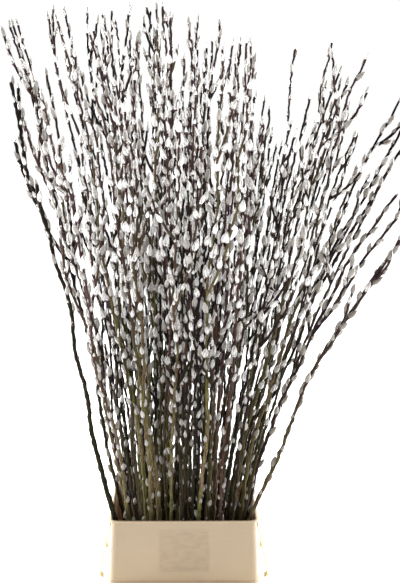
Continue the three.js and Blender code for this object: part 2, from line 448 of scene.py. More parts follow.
@dataclass(frozen=True)
class DownFinish:
    """Silky catkin down: dark at the foot, silver above, white at the tip, and straw-grey low down. The
    dark foot is partly painted shade, and the white tip is partly a painted highlight.
    """

    # Dark bracts showing between the hairs; also used as the painted shade at each catkin's foot.
    parting_and_shade: Colour = (0.060, 0.050, 0.045)
    silver: Colour = (0.38, 0.355, 0.32)
    white: Colour = (0.92, 0.91, 0.90)
    straw: Colour = (0.125, 0.102, 0.075)
    hair_scale: Triple = (9.0, 1.6, 1.0)
    tuft_scale: float = 380.0
    young_height: tuple[float, float] = (220 * MM, 720 * MM)
    young_tone: tuple[float, float] = (-0.6, 0.35)
    relief: float = 1.2 * MM

    def material(self) -> bpy.types.Material:
        """Makes the down.

        Returns:
            The material.
        """
        nodes = Nodes(Slot.DOWN.value)
        along = nodes.add("UVMap", uv_map="hairs").outputs["UV"]
        up = nodes.apart(along)[1]
        hairs = nodes.noise(nodes.stretched(along, self.hair_scale), 1.0)
        tufts = nodes.noise(nodes.place(), self.tuft_scale)
        raised = nodes.maths("ADD", up, nodes.fit(tufts, (0.3, 0.7), (-0.16, 0.16)))
        # Painted shade and highlight along each catkin: darker towards its foot and whiter towards its
        # tip, as light from above falls, over its own dark bracts and pale hair tips.
        bands = ((0.1, self.parting_and_shade), (0.42, self.silver), (0.66, self.silver), (0.92, self.white))
        rise = nodes.ramp(raised, list(bands))
        tone = nodes.attribute("tone")
        young = nodes.fit(nodes.apart(nodes.place())[2], self.young_height, (1, 0))
        young = nodes.maths("MAXIMUM", young, nodes.fit(tone, self.young_tone, (1, 0)))
        ripe = nodes.fit(tone, (0, 1), (-0.28, 0.22))
        share = nodes.maths("ADD", nodes.maths("ADD", hairs, tufts), ripe)
        light = nodes.mix(nodes.fit(share, (0.9, 1.12), (0, 1)), rise, self.white)
        light = nodes.mix(nodes.maths("MULTIPLY", young, 0.85), light, self.straw)
        glow = nodes.fit(up, (0.05, 0.45), (0.15, 1))
        glow = nodes.maths("MULTIPLY", glow, nodes.fit(young, (0, 1), (1.0, 0.3)))
        nodes.link(glow, nodes.surface.inputs["Sheen Weight"])
        gaps = nodes.fit(hairs, (0.38, 0.48), (0.8, 0))
        nodes.colour(nodes.mix(gaps, light, self.parting_and_shade))
        nodes.bump(nodes.maths("ADD", hairs, tufts), 0.7, self.relief)
        nodes.fixed(Roughness=0.85, Sheen_Roughness=0.5, Specular_IOR_Level=0.1)
        nodes.fixed(Coat_Weight=1.0, Coat_Roughness=0.45)
        return nodes.material


@dataclass(frozen=True)
class ScaleFinish:
    """The glossy red-brown scales that a catkin pushes off."""

    dark: Colour = (0.026, 0.013, 0.011)
    red: Colour = (0.075, 0.030, 0.018)
    grain_scale: float = 260.0
    pit_scale: float = 900.0
    relief: float = 0.3 * MM

    def material(self) -> bpy.types.Material:
        """Makes the scales.

        Returns:
            The material.
        """
        nodes = Nodes(Slot.SCALE.value)
        grain = nodes.noise(nodes.place(), self.grain_scale)
        nodes.colour(nodes.mix(nodes.fit(grain, (0.35, 0.65), (0, 1)), self.dark, self.red))
        nodes.roughness(nodes.fit(grain, (0.3, 0.7), (0.3, 0.5)))
        nodes.bump(nodes.noise(nodes.place(), self.pit_scale, 1.0), 0.3, self.relief)
        nodes.fixed(Specular_IOR_Level=0.35)
        return nodes.material


@dataclass(frozen=True)
class PlasticFinish:
    """Moulded beige plastic, a little clouded, with a smudged blank panel on its front and a painted
    highlight on its side feet.
    """

    beige: Colour = (0.341, 0.266, 0.174)
    warm: Colour = (0.394, 0.293, 0.180)
    scuff: Colour = (0.43, 0.37, 0.29)
    smudge: Colour = (0.19, 0.13, 0.07)
    # Painted highlight: the pale colour of the side feet and toes stands in for strong side light on the
    # same plastic.
    pale: Colour = (0.74, 0.67, 0.40)
    half_width: float = 152 * MM
    taper: float = 4 / 130
    feet_start: tuple[float, float] = (2 * MM, 5 * MM)
    front: tuple[float, float] = (-190 * MM, -180 * MM)
    panel_edge: float = 6 * MM
    cloud_scale: float = 9.0
    scratch_scale: Triple = (30.0, 30.0, 260.0)
    smudge_scale: Triple = (45.0, 45.0, 110.0)
    grain_scale: float = 1500.0
    relief: float = 0.2 * MM
    depth: float = 8 * MM

    def material(self) -> bpy.types.Material:
        """Makes the plastic.

        Returns:
            The material.
        """
        nodes = Nodes(Slot.PLASTIC.value)
        place = nodes.place()
        x, y, z = nodes.apart(place)
        aside = nodes.maths("ABSOLUTE", x)
        cloud = nodes.noise(place, self.cloud_scale, 3.0)
        low = nodes.maths("ADD", z, nodes.fit(cloud, (0.3, 0.7), (-0.03, 0.03)))
        base = nodes.mix(nodes.fit(low, (0.0, 0.12), (1, 0)), self.beige, self.warm)
        scratches = nodes.noise(nodes.stretched(place, self.scratch_scale), 1.0, 3.0)
        base = nodes.mix(nodes.fit(scratches, (0.55, 0.75), (0, 0.16)), base, self.scuff)
        base = nodes.mix(self.smudged(nodes, aside, y, z), base, self.smudge)
        # Painted highlight: the colour turns pale where the side feet stand out beyond the plain wall.
        beyond = nodes.maths("ADD", aside, nodes.maths("MULTIPLY", z, self.taper))
        beyond = nodes.maths("ADD", beyond, -self.half_width)
        nodes.colour(nodes.mix(nodes.fit(beyond, self.feet_start, (0, 1)), base, self.pale))
        grain = nodes.noise(place, self.grain_scale, 1.0)
        nodes.roughness(nodes.fit(cloud, (0.3, 0.7), (0.38, 0.52)))
        relief = nodes.maths("ADD", grain, nodes.maths("MULTIPLY", scratches, 0.5))
        nodes.bump(relief, 0.2, self.relief)
        nodes.fixed(Subsurface_Weight=0.15, Subsurface_Scale=self.depth)
        nodes.surface.inputs["Subsurface Radius"].default_value = (1.0, 0.75, 0.5)
        return nodes.material

    def smudged(self, nodes: Nodes, aside: Socket, y: Socket, z: Socket) -> Socket:
        """Finds how smudged a place is: only within the front's blank panel, in soft patches.

        Args:
            nodes: The material's nodes.
            aside: How far the place is from the middle, sideways.
            y: How far back it is.
            z: How high it is.

        Returns:
            The share of smudge.
        """
        patches = nodes.noise(nodes.stretched(nodes.place(), self.smudge_scale), 1.0, 5.0)
        share = nodes.fit(patches, (0.42, 0.75), (0.16, 0.5))
        share = nodes.maths("MULTIPLY", share, nodes.fit(y, self.front, (1, 0)))
        level = nodes.maths("ABSOLUTE", nodes.maths("ADD", z, -PANEL_MIDDLE))
        for distance, whole in ((aside, PANEL_WIDTH), (level, PANEL_HEIGHT)):
            inside = nodes.fit(distance, (whole / 2 - self.panel_edge, whole / 2), (1, 0))
            share = nodes.maths("MULTIPLY", share, inside)
        return share


@dataclass(frozen=True)
class Wander:
    """The slow sideways wander of a grown rod about its straight course."""

    sizes: np.ndarray
    lengths: np.ndarray
    turns: np.ndarray
    start: float
    ease: float = 300 * MM

    @classmethod
    def drawn(cls, random: np.random.Generator, start: float, share: float) -> "Wander":
        """Draws a wander made of three waves.

        Args:
            random: The source of chance.
            start: The height from which it grows, in metres.
            share: How wide a wave is, as a share of its length.

        Returns:
            The wander.
        """
        lengths = np.array([0.42, 0.24, 0.14]) * random.uniform(0.8, 1.25, 3)
        sizes = lengths[:, None] * share * random.normal(0, 1, (3, 2))
        return cls(sizes, lengths, random.uniform(0, 2 * math.pi, (3, 2)), start)

    def at(self, heights: np.ndarray) -> np.ndarray:
        """Gives the sideways offsets at some heights."""
        rise = (heights - self.start)[:, None, None]
        waves = np.sin(2 * math.pi * rise / self.lengths[:, None] + self.turns) - np.sin(self.turns)
        return (waves * self.sizes).sum(axis=1) * np.clip(rise[:, 0] / self.ease, 0, 1)


@dataclass
class Line:
    """A rod's centre line with its thickness, read from low to high."""

    points: np.ndarray
    radii: np.ndarray
    between: int = 5
    reach: float = 10 * MM
    lengths: np.ndarray = field(init=False)

    def __post_init__(self) -> None:
        """Smooths the line and measures how far along each point lies."""
        self.points, self.radii = self.rounded()
        self.measure()

    def measure(self) -> None:
        """Measures how far along the line each of its points lies."""
        steps = np.linalg.norm(np.diff(self.points, axis=0), axis=1)
        self.lengths = np.concatenate([[0.0], np.cumsum(steps)])

    def sway(self, wander: Wander) -> None:
        """Moves the line sideways by a wander."""
        self.points[:, :2] += wander.at(self.points[:, 2])
        self.measure()

    def across(self, heights: np.ndarray) -> np.ndarray:
        """Gives the x, y and radius at some heights, far away above the tip and below the foot."""
        values = np.column_stack([self.points[:, :2], self.radii])
        rows = [np.interp(heights, self.points[:, 2], values[:, k]) for k in range(3)]
        beyond = (heights > self.points[-1, 2]) | (heights < self.points[0, 2])
        rows[0][beyond] = FAR
        return np.array(rows)

    def rounded(self) -> tuple[np.ndarray, np.ndarray]:
        """Runs a smooth curve through the points, in a few steps from each to the next.

        Returns:
            The curve's points and radii.
        """
        data = np.column_stack([self.points, self.radii])
        ends = np.vstack([2 * data[0] - data[1], data, 2 * data[-1] - data[-2]])
        out = []
        for a, b, c, d in zip(ends, ends[1:], ends[2:], ends[3:]):
            for t in np.arange(self.between) / self.between:
                bend = 2 * b + (c - a) * t + (2 * a - 5 * b + 4 * c - d) * t**2
                out.append((bend + (3 * b - a - 3 * c + d) * t**3) / 2)
        out.append(data[-1])
        out = np.array(out)
        return out[:, :3], out[:, 3]

    @property
    def length(self) -> float:
        """The whole length, in metres."""
        return float(self.lengths[-1])

    def at(self, length: float) -> tuple[Vector, Vector, float]:
        """Finds a place along the line.

        Args:
            length: How far along it, in metres.

        Returns:
            The point, the direction there and the radius there.
        """
        behind, point, ahead = (
            Vector([np.interp(place, self.lengths, self.points[:, k]) for k in range(3)])
            for place in (length - self.reach, length, length + self.reach)
        )
        radius = float(np.interp(length, self.lengths, self.radii))
        return point, (ahead - behind).normalized(), radius


@dataclass
class RodReader:
    """Finds the centre lines of a branch in its CAD node, whose rods have level rings."""

    node: bpy.types.Object

    def levels(self) -> list[tuple[float, np.ndarray]]:
        """Sorts the node's points into level sets.

        Returns:
            Each height with the points on it, lowest first.
        """
        co = np.empty(len(self.node.data.vertices) * 3)
        self.node.data.vertices.foreach_get("co", co)
        co = np.unique(co.reshape(-1, 3).round(6), axis=0)
        co = co[np.argsort(co[:, 2])]
        cuts = np.where(np.diff(co[:, 2]) > LEVEL_GAP / 5)[0] + 1
        return [(float(group[:, 2].mean()), group) for group in np.split(co, cuts)]

    def read(self) -> tuple[Line, Optional[Line]]:
        """Reads the main rod and its side shoot.

        Returns:
            The rod's line, and the shoot's if the branch has one.
        """
        levels = self.levels()
        full = [(z, ring) for z, ring in levels if len(ring) >= ROD_RING]
        foot, step = full[0][0], full[1][0] - full[0][0]
        heights = [foot + k * step for k in range(ROD_STEPS + 1)]
        rings = [min(levels, key=lambda level: abs(level[0] - z))[1] for z in heights]
        rod = self.line(rings)
        side = [
            (z, ring)
            for z, ring in levels
            if len(ring) == SHOOT_RING and min(abs(z - h) for h in heights) > LEVEL_GAP
        ]
        if len(side) < 2:
            return rod, None
        step = side[-1][0] - side[-2][0]
        tip_z = side[-1][0] + step
        tip = min(levels, key=lambda level: abs(level[0] - tip_z))[1]
        shoot = self.line([ring for _, ring in side] + [tip])
        start_z = tip_z - SHOOT_STEPS * step
        start = [np.interp(start_z, rod.points[:, 2], rod.points[:, k]) for k in range(3)]
        points = np.vstack([start, [ring.mean(axis=0) for _, ring in side], tip.mean(axis=0)])
        radii = np.concatenate([[shoot.radii[0] * 1.1], self.radii([r for _, r in side] + [tip])])
        return rod, Line(points, radii)

    def line(self, rings: list[np.ndarray]) -> Line:
        """Makes a line through the middles of rings."""
        return Line(np.array([ring.mean(axis=0) for ring in rings]), self.radii(rings))

    @staticmethod
    def radii(rings: list[np.ndarray]) -> np.ndarray:
        """Measures each ring's radius."""
        return np.array([np.linalg.norm(r - r.mean(axis=0), axis=1).max() for r in rings])


@dataclass
class Shape:
    """A small shape modelled once, ready to be copied many times into one mesh."""

    points: np.ndarray
    faces: list[list[int]]
    slots: list[int]
    hairs: list[tuple[float, float]]

    @classmethod
    def taken_from(cls, thing: bpy.types.Object) -> "Shape":
        """Takes a modelled object's shape and removes the object.

        Args:
            thing: The object, whose mesh has a UV map.

        Returns:
            The shape.
        """
        mesh = thing.data
        points = np.array([v.co for v in mesh.vertices])
        faces = [list(p.vertices) for p in mesh.polygons]
        slots = [p.material_index for p in mesh.polygons]
        layer = mesh.uv_layers.active.data
        hairs = [tuple(layer[i].uv) for p in mesh.polygons for i in p.loop_indices]
        bpy.data.objects.remove(thing)
        bpy.data.meshes.remove(mesh)
        return cls(points, faces, slots, hairs)


@dataclass
class CatkinPattern:
    """Models one catkin of each stage: a plump downy body in the remains of its bud scale.

    A catkin stands on the origin and points up along Z, its scale on the +X side.
    """

    length: float = 24.5 * MM
    width: float = 11 * MM
    around: int = 8
    rings: int = 7
    profile: tuple[tuple[float, float], ...] = (
        (0.05, 0.86),
        (0.19, 0.98),
        (0.39, 1.04),
        (0.61, 0.90),
        (0.81, 0.70),
        (0.95, 0.46),
    )
    profile_reach: float = 0.06
    roughness: float = 0.05
    hood_sides: int = 6
    hood_radii: tuple[float, float] = (0.46, 0.76)
    hood_height: float = 0.2
    hood_pulls: tuple[tuple[int, Triple], ...] = ((1, (0.18, 0, 0.2)), (-1, (0.2, 0, -0.14)))

    def size(self, stage: Stage) -> tuple[float, float]:
        """Gives a catkin's radius and height at a stage."""
        width, height, _ = stage.value
        return self.width * width / 2, self.length * height

    def body(self, stage: Stage) -> bpy.types.Object:
        """Models the downy body.

        Args:
            stage: How far it is out.

        Returns:
            The body's object.
        """
        deselect_all()
        radius, height = self.size(stage)
        bpy.ops.mesh.primitive_uv_sphere_add(
            segments=self.around, ring_count=self.rings, radius=0.5, location=(0, 0, 0.5)
        )
        body = bpy.context.object
        apply_place()
        for place, share in self.profile:
            choose(body, lambda co, place=place: abs(co.z - place) < self.profile_reach)
            with editing():
                bpy.ops.transform.resize(value=(share, share, 1), center_override=(0, 0, place))
        with editing():
            bpy.ops.mesh.select_all(action="SELECT")
            bpy.ops.transform.resize(
                value=(2 * radius, 2 * radius, height), center_override=(0, 0, 0)
            )
            bpy.ops.transform.vertex_random(
                offset=self.roughness * radius, normal=0.5, seed=len(stage.name)
            )
        return body

    def hood(self, stage: Stage) -> bpy.types.Object:
        """Models the bud scale that clasps the catkin's outer side at its foot.

        Args:
            stage: How far the catkin is out.

        Returns:
            The scale's object.
        """
        deselect_all()
        radius, height = self.size(stage)
        foot, mouth = self.hood_radii
        middle = self.hood_height / 2
        bpy.ops.mesh.primitive_cone_add(
            vertices=self.hood_sides,
            radius1=foot,
            radius2=mouth,
            depth=self.hood_height,
            location=(0, 0, middle),
        )
        hood = bpy.context.object
        apply_place()
        for outer, move in self.hood_pulls:
            choose(hood, lambda co, outer=outer: co.z > middle / 2 and co.x * outer > mouth / 3)
            with editing():
                bpy.ops.transform.translate(value=move)
        with editing():
            bpy.ops.mesh.select_all(action="SELECT")
            bpy.ops.transform.resize(value=(radius, radius, height), center_override=(0, 0, 0))
        return hood

    def shape(self, stage: Stage) -> Shape:
        """Joins the body and its scale.

        Args:
            stage: How far the catkin is out.

        Returns:
            The shape to copy, its down in slot 0 and its scale in slot 1.
        """
        body, hood = self.body(stage), self.hood(stage)
        marks = [bpy.data.materials.new(f"part_{k}") for k in range(2)]
        _, _, covered = stage.value
        edge = covered * self.size(stage)[1]
        for thing in (body, hood):
            for mark in marks:
                thing.data.materials.append(mark)
            for face in thing.data.polygons:
                face.material_index = int(thing is hood or face.center.z < edge)
        shape = Shape.taken_from(joined([body, hood]))
        for mark in marks:
            bpy.data.materials.remove(mark)
        return shape


@dataclass
class Finishes:
    """Every finish of the object, made once."""

    bark: bpy.types.Material = field(default_factory=lambda: BarkFinish().material())
    down: bpy.types.Material = field(default_factory=lambda: DownFinish().material())
    scale: bpy.types.Material = field(default_factory=lambda: ScaleFinish().material())
    plastic: bpy.types.Material = field(default_factory=lambda: PlasticFinish().material())


@dataclass
class Branch:
    """One cut branch: its bark-covered rods, and the catkins along them. Its twigs stay in a box."""

    name: str
    rod: Line
    shoot: Optional[Line]
    random: np.random.Generator
    tone: float
    # The bark's painted shade and light, from 0 for dark to 1 for bright.
    shade: float
    bare: float
    box: np.ndarray
    girth: float = 1.0
    dull: float = 0.0
    lift: float = 0.0
    shut_below: float = 0.0
    most_twigs: int = 3
    wander: float = 0.009
    spacing: float = 28.5 * MM
    turn: float = math.radians(137.5)
    swell: float = 0.28
    swell_reach: float = 4 * MM
    thinnest: float = 2.8 * MM
    kink: float = 0.7 * MM
    straight_foot: float = 30 * MM
    tube_step: float = 9 * MM
    twig_places: tuple[float, float] = (0.5, 0.93)
    twig_lengths: tuple[float, float] = (60 * MM, 170 * MM)
    twig_openings: tuple[float, float] = (math.radians(22), math.radians(48))
    twig_steps: int = 6
    lines: list[Line] = field(init=False)

    def __post_init__(self) -> None:
        """Lets the rods wander, then grows the twigs."""
        course = Wander.drawn(self.random, RIM, self.wander)
        self.rod.sway(course)
        self.lines = [self.rod]
        if self.shoot is not None:
            self.shoot.sway(course)
            self.shoot.sway(Wander.drawn(self.random, self.shoot.points[0, 2], self.wander))
            self.lines.append(self.shoot)
        for _ in range(self.random.integers(0, self.most_twigs + 1)):
            self.lines.append(self.twig())

    def twig(self) -> Line:
        """Grows a short twig that leaves the upper rod and bends upwards.

        Returns:
            Its line.
        """
        place = self.rod.length * self.random.uniform(*self.twig_places)
        point, along, radius = self.rod.at(place)
        length = min(self.random.uniform(*self.twig_lengths), TALLEST - point.z)
        steps = self.twig_steps
        turned = Matrix.Rotation(self.random.uniform(0, 2 * math.pi), 3, along)
        aside = turned @ along.orthogonal().normalized()
        opening = self.random.uniform(*self.twig_openings)
        heading = along * math.cos(opening) + aside * math.sin(opening)
        points = [point]
        for k in range(1, steps + 1):
            now = heading.lerp(Vector((0, 0, 1)), 0.6 * k / steps).normalized()
            points.append(points[-1] + now * length / steps)
        radii = np.linspace(0.75 * radius, self.thinnest / 2, steps + 1)
        course = np.array(points)
        course[:, :2] = np.clip(course[:, :2], *self.box[:, :2])
        return Line(course, radii)

    def buds(self, line: Line) -> list[float]:
        """Finds the places along a rod where a bud or catkin sits.

        Args:
            line: The rod.

        Returns:
            The lengths along it, in metres.
        """
        places, at = [], self.bare if line is self.rod else 22 * MM
        while at < line.length - 4 * MM:
            places.append(at)
            at += self.spacing * self.random.uniform(0.66, 1.34)
        if places and line.length - places[-1] > 0.4 * self.spacing:
            places.append(line.length - 3 * MM)
        return places

    def tube(self, line: Line, places: list[float]) -> list[tuple[Vector, float]]:
        """Lays out a rod's points, with a slight kink and swelling at each bud.

        Args:
            line: The rod.
            places: Where its buds sit.

        Returns:
            Each point with its radius.
        """
        stops = np.linspace(0, line.length, max(int(line.length / self.tube_step), 8))
        nodes = np.array(places)
        points = []
        for stop in stops:
            point, _, radius = line.at(float(stop))
            near = np.abs(nodes - stop).min() if len(nodes) else 1.0
            thick = max(radius, self.thinnest * (1 - 0.25 * stop / line.length))
            thick *= 1 + self.swell * math.exp(-((near / self.swell_reach) ** 2))
            thick *= self.girth * self.random.uniform(0.96, 1.04)
            kink = Vector(self.random.normal(0, self.kink, 2).tolist() + [0.0])
            if stop < self.straight_foot:
                kink *= 0
            points.append((point + kink, thick))
        return points

    def build_wood(self, bark: bpy.types.Material, places: list[list[float]]) -> bpy.types.Object:
        """Draws the rods as one thick curve and makes it a mesh.

        Args:
            bark: The bark's finish.
            places: For each rod, where its buds sit.

        Returns:
            The wood's object.
        """
        deselect_all()
        bpy.ops.curve.primitive_nurbs_path_add(location=(0, 0, 0))
        wood = bpy.context.object
        wood.name = f"{self.name}_wood"
        curve = wood.data
        curve.splines.clear()
        curve.bevel_depth, curve.bevel_resolution, curve.use_fill_caps = 1.0, 2, True
        for line, spots in zip(self.lines, places):
            points = self.tube(line, spots)
            spline = curve.splines.new("POLY")
            spline.points.add(len(points) - 1)
            for target, (point, radius) in zip(spline.points, points):
                target.co, target.radius = (*point, 1.0), radius
        wood.select_set(True)
        bpy.context.view_layer.objects.active = wood
        bpy.ops.object.convert(target="MESH")
        with editing():
            bpy.ops.mesh.select_all(action="SELECT")
            bpy.ops.mesh.remove_doubles(threshold=0.01 * MM)
            face_outwards()
        bpy.ops.object.shade_smooth_by_angle(angle=math.radians(60))
        wood.data.materials.clear()
        wood.data.materials.append(bark)
        for label, value in (("tone", self.tone), ("shade", self.shade)):
            held = wood.data.attributes.new(label, "FLOAT", "POINT")
            held.data.foreach_set("value", np.full(len(wood.data.vertices), value, np.float32))
        return wood

    def stage_at(self, height: float) -> Stage:
        """Draws how far a catkin is out.

        Args:
            height: How high it sits, in metres.

        Returns:
            The stage.
        """
        if height < self.shut_below:
            return Stage.CLOSED
        share = height / TALLEST + self.lift
        draw = self.random.uniform()
        shut = 0.24 * (1 - smoothstep(0.12, 0.55, share)) + 0.03 * smoothstep(0.93, 1.0, share)
        if draw < shut:
            return Stage.CLOSED
        if draw < 1.5 * shut + 0.14:
            return Stage.PEEPING
        return Stage.PLUMP if draw > 0.66 else Stage.OPEN

    def spots(self, line: Line, places: list[float]) -> list[tuple[Stage, Matrix]]:
        """Places the catkins of one rod, turning from each to the next.

        Args:
            line: The rod.
            places: The lengths along it where they sit.

        Returns:
            Each catkin's stage and place.
        """
        found = []
        angle = self.random.uniform(0, 2 * math.pi)
        for place in places:
            angle += self.turn + self.random.normal(0, 0.3)
            point, along, radius = line.at(place)
            share = point.z / TALLEST + self.lift
            stage = self.stage_at(point.z)
            side = along.orthogonal().normalized()
            outward = Matrix.Rotation(angle, 3, along) @ side
            tip = smoothstep(line.length - 16 * MM, line.length, place)
            lean = math.radians(self.random.uniform(7, 22)) * (1 - tip)
            up = (along * math.cos(lean) + outward * math.sin(lean)).normalized()
            size = self.random.normal(0.98, 0.14) * (0.6 + 0.4 * smoothstep(0.12, 0.5, share))
            size *= 1 - 0.2 * smoothstep(0.9, 1.0, place / line.length)
            across = up.cross(outward).normalized()
            front = across.cross(up)
            turned = Matrix((front, across, up)).transposed().to_4x4()
            seat = Matrix.Translation(point + outward * radius * 0.8 * (1 - tip))
            found.append((stage, seat @ turned @ Matrix.Scale(size, 4)))
        return found

    def build_catkins(
        self, shapes: dict[Stage, Shape], places: list[list[float]], finishes: Finishes
    ) -> bpy.types.Object:
        """Copies the modelled catkins to their places, in one mesh.

        Args:
            shapes: The modelled catkins.
            places: For each rod, where its catkins sit.
            finishes: The object's finishes.

        Returns:
            The catkins' object.
        """
        points, faces, slots, hairs, tones, start = [], [], [], [], [], 0
        for line, spots in zip(self.lines, places):
            for stage, place in self.spots(line, spots):
                shape = shapes[stage]
                tones.append(np.full(len(shape.points), self.random.uniform() - self.dull))
                matrix = np.array(place)
                points.append(shape.points @ matrix[:3, :3].T + matrix[:3, 3])
                faces.extend([[i + start for i in face] for face in shape.faces])
                slots.extend(shape.slots)
                hairs.extend(shape.hairs)
                start += len(shape.points)
        mesh = bpy.data.meshes.new(f"{self.name}_catkins")
        mesh.from_pydata(np.vstack(points).tolist(), [], faces)
        mesh.uv_layers.new(name="hairs").data.foreach_set("uv", np.array(hairs).ravel())
        for finish in (finishes.down, finishes.scale):
            mesh.materials.append(finish)
        mesh.polygons.foreach_set("material_index", np.array(slots, np.int32))
        tone = mesh.attributes.new("tone", "FLOAT", "POINT")
        tone.data.foreach_set("value", np.concatenate(tones).astype(np.float32))
        mesh.polygons.foreach_set("use_smooth", np.ones(len(faces), bool))
        catkins = bpy.data.objects.new(mesh.name, mesh)
        bpy.context.collection.objects.link(catkins)
        return catkins

    def build(self, shapes: dict[Stage, Shape], finishes: Finishes) -> list[bpy.types.Object]:
        """Builds the branch.

        Args:
            shapes: The modelled catkins.
            finishes: The object's finishes.

        Returns:
            The wood and the catkins.
        """
        places = [self.buds(line) for line in self.lines]
        wood = self.build_wood(finishes.bark, places)
        return [wood, self.build_catkins(shapes, places, finishes)]


@dataclass
class Thicket:
    """Lays out more branches among the modelled ones, clear of their rods and of the stated openings."""

    taken: list[Line]
    openings: list[dict]
    box: np.ndarray
    random: np.random.Generator
    count: int = 66
    tries: int = 160
    reach: tuple[float, float] = (131 * MM, 172 * MM)
    foot: float = 3.6 * MM
    gap: float = 0.6 * MM
    left_wing: tuple[float, float] = (0.023, 0.23)
    right_wing: tuple[float, float] = (0.18, 0.36)
    tops: tuple[float, float] = (0.32, 0.8)
    outer_tops: tuple[float, float] = (0.72, 0.9)
    foot_radii: tuple[float, float] = (3.0 * MM, 4.8 * MM)
    tip_radius: float = 1.1 * MM
    heights: np.ndarray = field(default_factory=lambda: np.linspace(4 * MM, 1150 * MM, 60))

    def drawn(self) -> Line:
        """Draws one branch's line, leaning out as its neighbours in the fan do.

        Returns:
            The line.
        """
        out, back = self.random.triangular(-1, 0, 1), self.random.uniform(-1, 1)
        wing = self.random.uniform(*(self.left_wing if out < 0 else self.right_wing))
        slope = np.array([0.05 * out + wing * out * abs(out) ** 1.5, 0.12 * back])
        slope += self.random.uniform(-1, 1, 2) * (0.05, 0.02)
        bow = 0.16 * slope + self.random.uniform(-0.03, 0.03, 2)
        top = TALLEST * self.random.uniform(*(self.outer_tops if out > 0.5 else self.tops))
        z = np.linspace(self.foot, top, ROD_STEPS + 1)
        above = np.maximum(z - RIM, 0)[:, None]
        middle = np.array([out * self.reach[0], back * self.reach[1]])
        course = middle + slope * (z - RIM)[:, None] + bow * above**2
        radii = np.linspace(self.random.uniform(*self.foot_radii), self.tip_radius, len(z))
        return Line(np.column_stack([course, z]), radii)

    def fits(self, line: Line) -> bool:
        """Says whether a line stays within the walls and the box, clear of openings and other rods.

        Args:
            line: The line.

        Returns:
            Whether it fits.
        """
        x, y, radius = line.across(self.heights)
        low = self.heights < RIM
        if (np.abs(x[low]) > self.reach[0]).any() or (np.abs(y[low]) > self.reach[1]).any():
            return False
        for opening in self.openings:
            (_, near, _), (_, far, _) = opening["box_m"]
            if ((y[low] > near - radius[low]) & (y[low] < far + radius[low])).any():
                return False
        near_end, far_end = self.box[:, :2]
        if (line.points[:, :2] < near_end).any() or (line.points[:, :2] > far_end).any():
            return False
        edge = self.taken[0].across(self.heights)[0]
        if (x < edge).any():
            return False
        for other in self.taken:
            ox, oy, other_radius = other.across(self.heights)
            apart = np.hypot(x - ox, y - oy) * 0.95 - radius - other_radius
            if apart.min() < self.gap:
                return False
        return True

    def lay(self) -> list[Line]:
        """Lays out the branches one by one.

        Returns:
            Their lines.
        """
        found = []
        for _ in range(self.tries * self.count):
            line = self.drawn()
            if self.fits(line):
                self.taken.append(line)
                found.append(line)
            if len(found) == self.count:
                break
        return found


